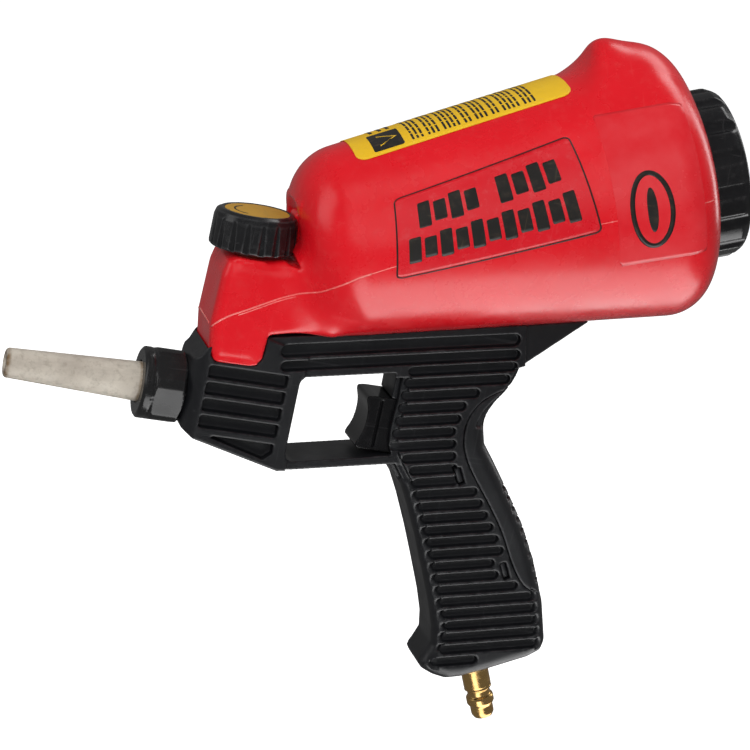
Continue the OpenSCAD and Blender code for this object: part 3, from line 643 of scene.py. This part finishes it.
tank_skin = shape_tank()
tank = build("tank_body", tank_skin.co, tank_skin.faces, red)
set_wear_and_highlight(tank, tank_skin.edge_wear_and_highlight(2, 2.2))
place(tank, "handle", "tank")
beads = []
for side in (-1, 1):
    line, normal = seam_line(SEAM, side)
    neck_end = int(np.argmin(np.abs(line[:, 0] - NECK_END_X)))
    beads.append(sweep_bead(line[:neck_end + 1], normal[:neck_end + 1], 0.34, 0.30))
    beads.append(sweep_bead(line[neck_end:], normal[neck_end:], 0.2, 0.19))
    beads.append(sweep_bead(*seam_line([(x - 1.0, z - 1.5) for x, z in SEAM[3:7]], side), 0.26, 0.24))
front_y = np.linspace(-10, 10, 27)
front = np.stack([np.full(len(front_y), 69.2), front_y, np.full(len(front_y), 28.3) + 0.02 * front_y], 1)
front = snap(front, 3)
beads.append(sweep_bead(front, slope(tank_distance, front), 0.4, 0.3))
seam_co, seam_faces = joined(beads)
# The seam bead's pale tone is a painted highlight along the ridge.
place(build("tank_seam", seam_co, seam_faces, seam_red_with_highlight), "handle")


# --- black moulded pieces -----------------------------------------------------------------------
GRIP = np.array([
    [150.4, -19], [153.8, -23], [158.2, -31], [164.2, -43.5], [169.7, -56], [175, -68.5],
    [178.2, -77.5], [179.3, -84], [177.4, -89], [175.9, -92], [177.8, -94.6], [182.6, -96.6],
    [188, -97.6], [194, -96.2], [203, -92.4], [219, -85], [223.8, -81.4], [224.6, -77],
    [220, -61.5], [212.6, -45.2], [205, -32], [196, -19.5], [188, -9], [182.8, -2.5],
    [181.2, 3], [181.2, 8.5], [183.8, 14.6], [187.8, 21.5], [190, 29],
    [188, 34], [160, 30], [145, 24], [143.4, 10], [143.6, -8]])
GRIP_HALF, GRIP_ROUND = 13.85, 5.6
SADDLE = math.radians(11.3)
SLOTS, SLOT_PITCH, SLOT_HEIGHT, SLOT_START = 25, 4.87, 3.7, 7.4
SLOT_LEFT = ([0, 6, 7, 8, 12, 20, 21, 23, 24],
             [147.4, 141.2, 145.7, 148.6, 153.9, 162.8, 163.9, 162, 159])
SLOT_RIGHT = ([0, 1, 2, 3, 5, 7, 9, 10, 15, 16, 17, 18, 19, 23, 24],
              [189.5, 186.8, 175.1, 170.1, 166.2, 166.6, 167.7, 175.3, 186.3, 182.8, 184.6,
               192.4, 199, 201.2, 177])
WINDOWS, WINDOW_HALF = ((174.6, -15.6), (200.8, -50.4)), (1.5, 3.9)
LEAN, WINDOW_LEAN, RIB_LEAN = math.radians(23.4), math.radians(4), math.radians(8)
RIB_CUTS = 9
FAR = 99.0


def slot_distance(p):
    """Distance from the grip's side slots and snap windows in the side view, negative inside."""
    u = p[:, 0] * math.cos(SADDLE) + p[:, 2] * math.sin(SADDLE)
    v = -p[:, 0] * math.sin(SADDLE) + p[:, 2] * math.cos(SADDLE)
    best = np.full(len(p), FAR)
    for i in range(SLOTS):
        left, right = np.interp(i, *SLOT_LEFT), np.interp(i, *SLOT_RIGHT)
        half = SLOT_HEIGHT / 2
        du = np.maximum(np.maximum(left + half - u, u - right + half), 0)
        best = np.minimum(best, np.hypot(du, v + SLOT_START + SLOT_PITCH * i) - half)
    for x, z in WINDOWS:
        a, b = turn_back(p, x, z, LEAN + WINDOW_LEAN)
        best = np.minimum(best, np.maximum(np.abs(a) - WINDOW_HALF[0], np.abs(b) - WINDOW_HALF[1]))
    return best


def turn_back(p, x, z, angle):
    """Side view coordinates in a frame at (x, z) leaning by angle."""
    dx, dz = p[:, 0] - x, p[:, 2] - z
    return dx * math.cos(angle) + dz * math.sin(angle), -dx * math.sin(angle) + dz * math.cos(angle)


def rib_distance(p):
    """Distance from the cuts between the ribs at the strap's rear."""
    best = np.full(len(p), FAR)
    for k in range(RIB_CUTS):
        f = k / (RIB_CUTS - 1)
        sag = 1.4 * math.sin(math.pi * f)
        a, b = turn_back(p, 194.6 + 21.2 * f, -18 - 34.4 * f + sag, LEAN + RIB_LEAN)
        best = np.minimum(best, np.maximum(np.abs(b) - 0.5, -1.6 - a))
    return best


def grip_distance(p):
    """Distance from the grip without its slots."""
    return round_max(outline_distance(p[:, [0, 2]], GRIP), np.abs(p[:, 1]) - GRIP_HALF, GRIP_ROUND)


def round_grip(skin):
    """Turns the stepped layers at the grip's front and rear into one round, and leaves the cuts alone."""
    inset = -outline_distance(skin.co[:, [0, 2]], GRIP)
    for k in range(3):
        p = skin.co
        near = (inset < 6.2) & (inset > -1.5) & ((p[:, 2] < -20) | (p[:, 0] > 168)) & (p[:, 2] < 4)
        near &= (slot_distance(p) > 0.25) & (rib_distance(p) > 0.25)
        ids = np.nonzero(near)[0]
        d = grip_distance(p[ids])
        g = slope(grip_distance, p[ids])
        out = (skin.normals()[ids] * g).sum(1)
        ok = (d > -2.4) & (d < 1.5) & (out > 0.15)
        skin.co[ids[ok]] -= d[ok, None] * g[ok]
    w = np.zeros(len(skin.co))
    w[ids[ok]] = 1
    skin.relax(np.minimum(w, skin.mean(w)), 8, 0.0)


MOULDED = (
    ("handle_shell", "handle_housing", "handle", 0.42, 0.7, charcoal, "housing_black", 5, 8, round_grip),
    # The strap's material carries a painted sheen in its lighter base colour.
    ("grip_back", "back_strap", "handle", 0.42, 0.6, strap_black_with_sheen, "strap_black", 5, 8, round_grip),
    ("trigger_lever", "trigger", "trigger", 0.35, 0.35, gloss, "trigger_black", 8, 8, None),
    ("cap_body", "filler_cap", "filler_cap", 0.55, 0.55, cap_look, "cap_black", 4, 7, None),
    # The knob's edge gain of 9 widens its pale edge layer, which is partly a painted highlight.
    ("knob_body", "flow_knob", "flow_knob", 0.3, 0.3, knob_black_and_edge_highlight, "knob_black", 3, 9, None),
    ("nut_body", "nozzle_nut", "nozzle_nut", 0.4, 0.4, nut_look, "nut_black", 3, 8, None),
)
for name, node, body, fine_size, quick_size, *rest in MOULDED:
    moulded(name, node, body, fine_size, *rest)

# --- other nodes ---------------------------------------------------------------------------------
CAD_LOOKS = {
    "nozzle_seal": rubber, "mixing_chamber": aluminium, "air_jet": fitting, "spout_seal": rubber,
    "cap_gasket": rubber, "stem_bushing": fitting, "stem_seal": rubber, "valve_stem": steel,
    "metering_disc": fitting, "seat_plate": steel, "knob_screw": steel, "knob_disc": ochre,
    "valve_body": aluminium, "valve_pin": fitting, "pin_seal": rubber, "poppet_seal": rubber,
    "valve_spring": steel, "valve_plug": aluminium, "feed_pipe": aluminium,
    "supply_pipe": aluminium, "inlet_adapter": fitting, "tail_screw": steel,
}
for name, look in CAD_LOOKS.items():
    obj = nodes[name]
    obj.data.materials.clear()
    obj.data.materials.append(look.mat)


# --- nozzle and air plug ------------------------------------------------------------------------
def turned(name, node, body, profile, look, slot, origin, axis, worn, wobble=0.0):
    """Lathe piece for a CAD node; worn gives the wear at each place along the axis."""
    co, faces = lathe(profile, 128, wobble)
    marks = worn(co[:, 2], np.hypot(co[:, 0], co[:, 1]))
    obj = build(name, carried(co, origin, axis), faces, look)
    set_wear_and_highlight(obj, marks)
    return place(obj, body, node)


NOZ = {"bore": 3, "tip": 5.5, "base": 7.4, "flange": 51, "rim": 9, "thick": 4, "mix": 5.5}
NUT_FACE = 49.5
NOZZLE = [(0, NOZ["bore"]), (0.25, NOZ["bore"] + 0.7), (0, NOZ["tip"] - 1.2),
          (0.25, NOZ["tip"] - 0.5), (0.9, NOZ["tip"]),
          (NOZ["flange"] - 0.6, NOZ["base"]), (NOZ["flange"], NOZ["base"] + 0.3), (NOZ["flange"], NOZ["rim"]),
          (NOZ["flange"] + NOZ["thick"], NOZ["rim"]), (NOZ["flange"] + NOZ["thick"], NOZ["mix"]),
          (NOZ["flange"] - 16, NOZ["bore"])]


def nozzle_wear(x, r):
    """Stained round the outlet and where the nut holds the nozzle."""
    lip = np.clip(1.6 - x / 1.2, 0, 1)
    chamfer = np.clip(1 - np.abs(x - (NUT_FACE - 0.2)) / 0.9, 0, 1)
    return np.clip(lip + chamfer, 0, 1) * (r > NOZ["bore"] + 0.2)


turned("nozzle_body", "nozzle", "nozzle", soften(refine(NOZZLE, 0.5), 1), ceramic, "nozzle_ceramic",
       (0, 0, 0), (1, 0, 0), nozzle_wear, 0.006)

inlet = frame["record"]["mounts"][1]
plug_up = -np.array(inlet["axis"])
PLUG_REACH = 0.0157
plug_foot = np.array(inlet["pos_m"]) + PLUG_REACH * plug_up
PLUG = [(12.5, 3), (12.5, 6.3), (3.5, 6.3), (3.2, 5.9), (2.5, 5.4), (-5.2, 5.4), (-5.7, 5.25),
        (-6.2, 5.4), (-6.5, 5.4), (-7.2, 4.5), (-9.4, 4.5), (-9.9, 5.2), (-10.4, 5.4), (-12.6, 5.4),
        (-13.1, 5.15), (-14.0, 4.5), (-16.9, 4.5), (-17.6, 4.4), (-18.8, 3.7), (-18.8, 3.0)]
turned("plug_body", "air_plug", "handle", refine(PLUG, 0.4), brass, "plug_brass", plug_foot, plug_up,
       lambda x, r: np.zeros(len(x)))


# --- printed marks ---------------------------------------------------------------------------------
STICKER_START, TANK_TOP = 293, 180
MARK_MIDDLE, MARK_ANGLE = 391, 266


def on_tank(s, degrees, level):
    """Points on the tank's skin, raised by level, at distances and angles round the tank's axis."""
    a = np.radians(degrees)
    r = s * math.tan(TAPER)
    p = APEX + s[:, None] * AXIS + (r * np.cos(a))[:, None] * DOWN
    p = p + (r * np.sin(a))[:, None] * np.array([0, 1, 0])
    for _ in range(4):
        p = p - np.clip(tank_distance(p) - level, -3, 3)[:, None] * slope(tank_distance, p)
    return p


def top_place(u, v):
    """Yellow sticker: u along the tank from its front edge, v across it, in mm."""
    s = STICKER_START + u
    return s, TANK_TOP + np.degrees(v / (s * math.tan(TAPER)))


def side_place(u, v):
    """Side panel: u and v from 0 to 1 between its four corners."""
    s = (301 * (1 - u) + 367 * u) * (1 - v) + (297.4 * (1 - u) + 372 * u) * v
    a = (237.5 * (1 - u) + 225.5 * u) * (1 - v) + (282 * (1 - u) + 272 * u) * v
    return s, a


def rear_place(u, v):
    """Rear of the side: u along the tank and v round it, in mm from the mark's middle."""
    s = MARK_MIDDLE + u
    return s, MARK_ANGLE + np.degrees(v / (s * math.tan(TAPER)))


def slab(grid_u, grid_v, where, low, high):
    """Thin closed patch over a grid: grids have the same shape (n, m)."""
    n, m = grid_u.shape
    s, a = where(grid_u.ravel(), grid_v.ravel())
    co = np.concatenate([on_tank(s, a, high), on_tank(s, a, low)])
    k = np.arange(n * m).reshape(n, m)
    top = [(k[i, j], k[i + 1, j], k[i + 1, j + 1], k[i, j + 1]) for i in range(n - 1) for j in range(m - 1)]
    under = [tuple(q + n * m for q in f[::-1]) for f in top]
    rim = list(k[:, 0]) + list(k[-1, 1:]) + list(k[-2::-1, -1]) + list(k[0, -2:0:-1])
    wall = [(a, a + n * m, b + n * m, b) for a, b in zip(rim, rim[1:] + rim[:1])]
    return co, [tuple(int(q) for q in f) for f in top + under + wall]


def rounded(u0, u1, v0, v1, ru, rv, where, low, high, step_u, step_v):
    """Patch with rounded corners of radii ru and rv in the two directions."""
    bend = ru * (1 - np.cos(np.linspace(0, math.pi / 2, 7)))
    middle = np.linspace(u0 + ru, u1 - ru, max(2, math.ceil((u1 - u0 - 2 * ru) / step_u) + 1))
    u = np.concatenate([u0 + bend[:-1], middle, (u1 - bend[:-1])[::-1]])
    d = np.minimum(u - u0, u1 - u)
    cut = rv * (1 - np.sqrt(np.clip(1 - (1 - np.minimum(d / ru, 1)) ** 2, 0, 1)))
    count = max(2, math.ceil((v1 - v0) / step_v) + 1)
    t = np.linspace(0, 1, count)
    grid_v = (v0 + cut)[:, None] + (v1 - v0 - 2 * cut)[:, None] * t
    return slab(np.broadcast_to(u[:, None], grid_v.shape), grid_v, where, low, high)


def ring(points, width_u, width_v, where, low, high):
    """Closed line of a given width through (u, v) points."""
    p = np.array(points)
    t = np.roll(p, -1, 0) - np.roll(p, 1, 0)
    scale = np.array([width_u, width_v])
    n = np.stack([-t[:, 1] / width_v, t[:, 0] / width_u], 1)
    n = n / np.linalg.norm(n, axis=1, keepdims=True) * scale / 2
    loops = [p + n, p - n]
    rows = []
    for level in (high, low):
        for loop in loops:
            s, a = where(loop[:, 0], loop[:, 1])
            rows.append(on_tank(s, a, level))
    m = len(p)
    co = np.concatenate([rows[0], rows[1], rows[3], rows[2]])
    faces = [(k * m + i, k * m + (i + 1) % m, ((k + 1) % 4) * m + (i + 1) % m, ((k + 1) % 4) * m + i)
             for k in range(4) for i in range(m)]
    return co, faces


def printed(name, parts, look, node=None):
    """One piece on the tank made of thin patches and lines."""
    co, faces = joined(parts)
    return place(build(name, co, faces, look), "handle", node)


LIFT = 0.10
STICKER_LONG, STICKER_HALF = 82.5, 17.3
PRINT_LOW, PRINT_HIGH = LIFT + 0.17, LIFT + 0.26
ROW_START, ROW_END, ROW_PITCH, ROW_WIDE = 21.5, 77, 1.75, 0.85
BLOCKS, BLOCK_GAP = 8, 0.9
ROW_TOP, ROW_FOOT, WORD_GAP = 14.6, -14.5, 0.7


def on_sticker(u0, u1, v0, v1, radius, step_u, step_v):
    return rounded(u0, u1, v0, v1, radius, radius, top_place, PRINT_LOW, PRINT_HIGH, step_u, step_v)


paper = rounded(0, STICKER_LONG, -STICKER_HALF, STICKER_HALF, 4, 4, top_place, LIFT, LIFT + 0.2, 1.6, 1.6)
printed("sticker", [paper], yellow, "info_label")
marks = [on_sticker(7, 18.5, 1.5, 15.2, 0.8, 1.5, 1.5)]
row_u = ROW_START
for block in range(BLOCKS):
    for line in range(2 + int(rng.integers(0, 3))):
        v = ROW_TOP
        end = ROW_FOOT + 9 * rng.random() * (line > 0)
        while v > end:
            run = 1.5 + 4.5 * rng.random()
            marks.append(on_sticker(row_u, row_u + ROW_WIDE, max(v - run, end - 0.5), v, 0.2, 1, 1.6))
            v -= run + WORD_GAP
        row_u += ROW_PITCH
    row_u += BLOCK_GAP
    if row_u > ROW_END:
        break
for u, v0, v1 in ((9, -13, -1), (12.5, -9, -1), (15.5, -12, -1)):
    marks.append(on_sticker(u, u + 1.3, v0, v1, 0.3, 1, 1.6))
printed("sticker_marks", marks, ink)
triangle = [(16.6, 8.4), (10.2, 4.6), (10.2, 12.2)]
sign = ring(triangle, 0.9, 0.9, top_place, PRINT_HIGH - 0.02, PRINT_HIGH + 0.05)
printed("sticker_sign", [sign], yellow)

corner = [(0.035 * (1 - math.cos(t)), 0.05 * (1 - math.sin(t))) for t in np.linspace(0, math.pi / 2, 6)]
edge = [(x, y) for x, y in corner] + [(x, 0) for x in np.linspace(0.06, 0.94, 30)]
edge += [(1 - x, y) for x, y in corner[::-1]] + [(1, y) for y in np.linspace(0.09, 0.91, 24)]
edge += [(1 - x, 1 - y) for x, y in corner] + [(x, 1) for x in np.linspace(0.94, 0.06, 30)]
edge += [(x, 1 - y) for x, y in corner[::-1]] + [(0, y) for y in np.linspace(0.91, 0.09, 24)]
side_film = rounded(0, 1, 0, 1, 0.03, 0.04, side_place, 0.04, 0.09, 0.03, 0.05)
printed("side_film", [side_film], film_red, "side_label")
INK_LOW, INK_HIGH = 0.06, 0.13
panel = [ring(edge, 0.0085, 0.0145, side_place, INK_LOW, INK_HIGH)]
# bars in two lines, as (top, foot, groups of (start, end, number of bars))
for v0, v1, words in ((0.14, 0.44, ((0.12, 0.46, 4), (0.55, 0.90, 4))), (0.53, 0.84, ((0.06, 0.94, 11),))):
    for u0, u1, count in words:
        pitch = (u1 - u0) / count
        for i in range(count):
            inset = 0.035 * (i % 2)
            panel.append(rounded(u0 + i * pitch, u0 + (i + 0.78) * pitch, v0 + inset, v1 - inset,
                                 0.008, 0.02, side_place, INK_LOW, INK_HIGH, 0.02, 0.04))
printed("side_marks", panel, ink)

rear_film = rounded(-13, 20, -39, 20, 1.2, 1.2, rear_place, 0.05, 0.11, 1.6, 1.6)
printed("rear_film", [rear_film], film_look)
oval = [(7.2 * math.cos(t), 13.5 * math.sin(t)) for t in np.linspace(0, 2 * math.pi, 64, endpoint=False)]
emblem = [ring(oval, 1.8, 1.8, rear_place, 0.08, 0.16)]
emblem.append(rounded(-1.9, 1.9, -8.2, 8.2, 1.85, 7.5, rear_place, 0.08, 0.16, 0.8, 0.8))
printed("rear_mark", emblem, ink)

# dark arc printed on the knob's disc
DISC_TOP = 69.82
arc_foot = knob_foot + DISC_TOP * knob_axis
arc_x = np.cross([0, 1.0, 0], knob_axis)
arc = np.radians(np.linspace(120, 235, 50))[:, None]
spoke = np.cos(arc) * arc_x + np.sin(arc) * np.array([0, 1.0, 0])
ARC_SECTION = ((8.6, 0.06), (8.0, 0.06), (8.0, -0.05), (8.6, -0.05))
loops = [arc_foot + h * knob_axis + r * spoke for r, h in ARC_SECTION]
m = len(arc)
faces = [(k * m + i, k * m + i + 1, ((k + 1) % 4) * m + i + 1, ((k + 1) % 4) * m + i) for k in range(4)
         for i in range(m - 1)]
faces += [(0, m, 2 * m, 3 * m), (4 * m - 1, 3 * m - 1, 2 * m - 1, m - 1)]
place(build("knob_arc", np.concatenate(loops), faces, ink), "flow_knob")

# --- stage ------------------------------------------------------------------------------------
FLOOR_HALF, FLOOR_Z = 6000, -150
corners = [(x * FLOOR_HALF, y * FLOOR_HALF, FLOOR_Z) for x, y in ((-1, -1), (1, -1), (1, 1), (-1, 1))]
floor = build("floor", corners, [(0, 1, 2, 3)], red, False)
floor.data.materials.clear()
floor.data.materials.append(ground)
floor.visible_diffuse = False
floor.visible_glossy = False

area_light("fill", (-0.30, -1.0, 0.45), 1.4, (1.2, 1.0), 14.0, False)
area_light("bounce", (0.1, -0.6, -0.8), 1.2, (1.0, 0.8), 5.0, False)
area_light("key", (-0.45, -0.45, 1.0), 1.2, (0.5, 0.35), 3.0, False)
area_light("nose", (-1.0, -0.05, 0.35), 1.1, (0.5, 0.8), 1.5)
area_light("top", (0.5, 0.3, 1.0), 1.2, (0.7, 0.4), 2.6)
area_light("rim", (1.0, 0.35, 0.5), 1.0, (0.25, 0.8), 2.0)
area_light("low", (0.36, -0.32, -0.86), 0.62, (1.1, 0.36), 3.7, aim=Vector((0.13, 0, 0.07)))
